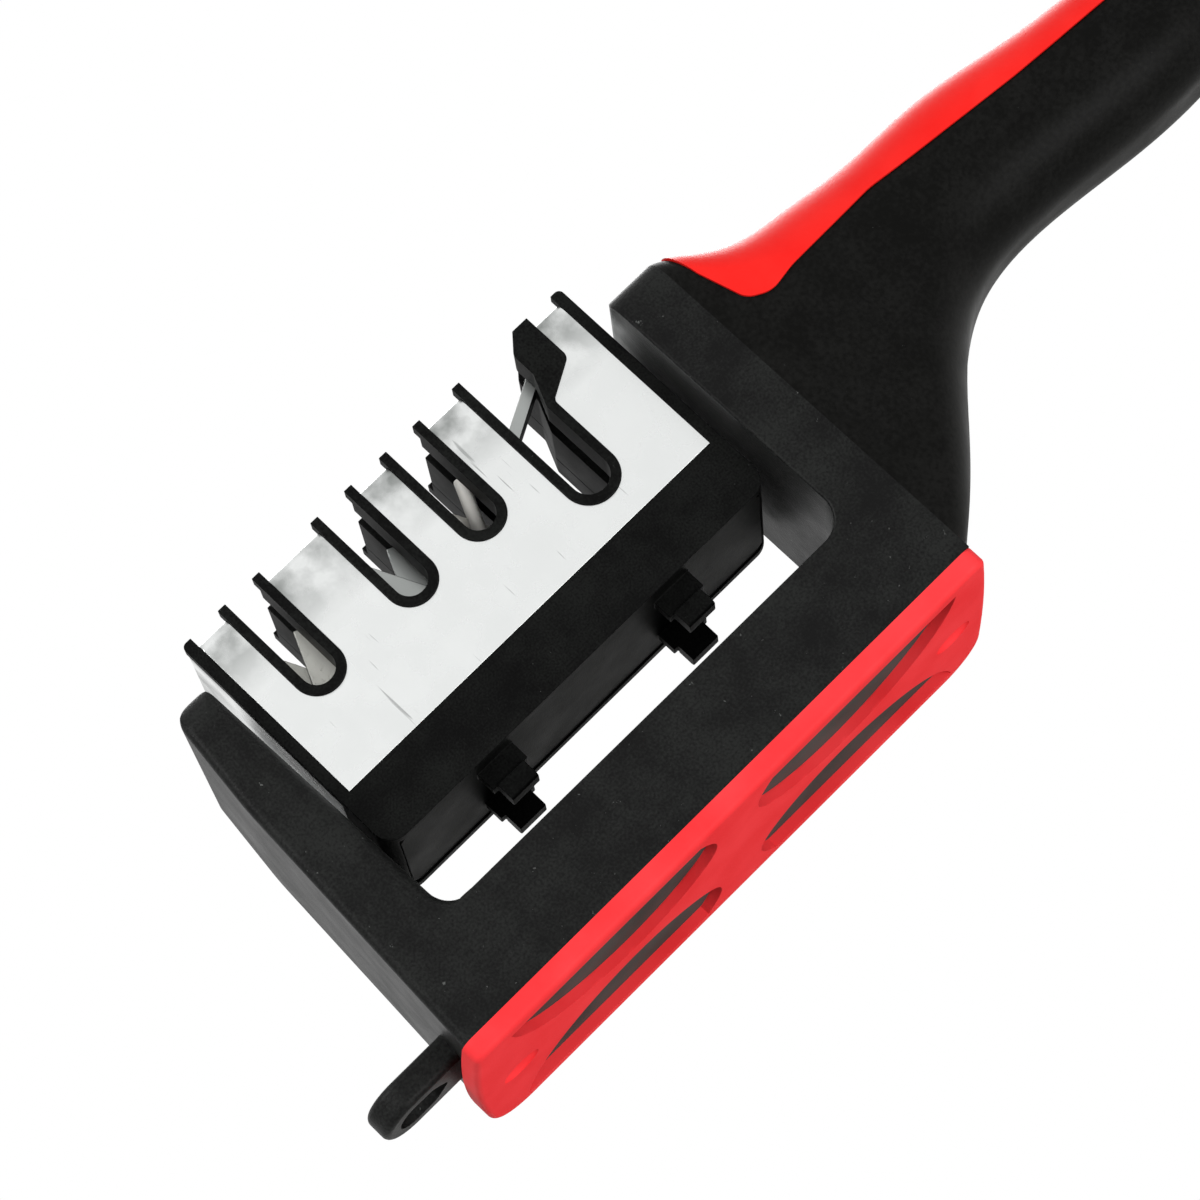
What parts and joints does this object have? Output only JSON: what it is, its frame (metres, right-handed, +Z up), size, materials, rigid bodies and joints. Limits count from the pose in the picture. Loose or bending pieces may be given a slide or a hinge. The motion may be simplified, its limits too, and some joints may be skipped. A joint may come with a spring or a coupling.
{
  "type": "pull through knife sharpener",
  "caption": "Hand-held pull-through knife and scissor sharpener: U-shaped frame with a side handle, non-slip sole and a lift-out slotted sharpening cartridge.",
  "frame": {"origin": "centre of the sole's underside, under the middle of the frame", "axes": "+X towards the handle, -Y is the front face, +Z up out of the sole"},
  "size_m": [0.231, 0.046, 0.0824],
  "materials": {
    "black_abs": "moulded black ABS, fine grain, satin",
    "cartridge_abs": "moulded black ABS, matt",
    "black_soft_grip": "black thermoplastic rubber, smooth satin",
    "red_soft_inlay": "red thermoplastic rubber, smooth",
    "red_sole": "red thermoplastic rubber, matt",
    "grey_mat": "dark grey rubber, matt",
    "stainless_sheet": "thin folded stainless sheet, lightly scratched",
    "screw_steel": "zinc-plated steel",
    "diamond_steel": "steel plate with bonded diamond grit",
    "carbide": "ground tungsten carbide",
    "white_ceramic": "white sintered ceramic"
  },
  "bodies": {
    "frame": {"front_housing": "black_abs", "rear_housing": "black_abs", "housing_screws": "screw_steel", "handle_core": "black_abs", "handle_grip": "black_soft_grip", "handle_top_strip": "red_soft_inlay", "base_shoe": "red_sole", "sole_mat": "grey_mat"},
    "cartridge": {"carrier_front": "cartridge_abs", "carrier_rear": "cartridge_abs", "steel_cover": "stainless_sheet", "cartridge_base": "cartridge_abs", "coarse_holder": "cartridge_abs", "diamond_plate_left": "diamond_steel", "diamond_plate_right": "diamond_steel", "carbide_holder": "cartridge_abs", "carbide_blade_left": "carbide", "carbide_blade_right": "carbide", "ceramic_holder": "cartridge_abs", "ceramic_rod_left": "white_ceramic", "ceramic_rod_right": "white_ceramic", "scissor_holder": "cartridge_abs", "scissor_bar": "carbide"}
  },
  "joints": [
    {"name": "cartridge_lift", "type": "slide", "parent": "frame", "child": "cartridge", "axis": [0, 0, 1], "range_m": [-0.015, 0.045]}
  ]
}
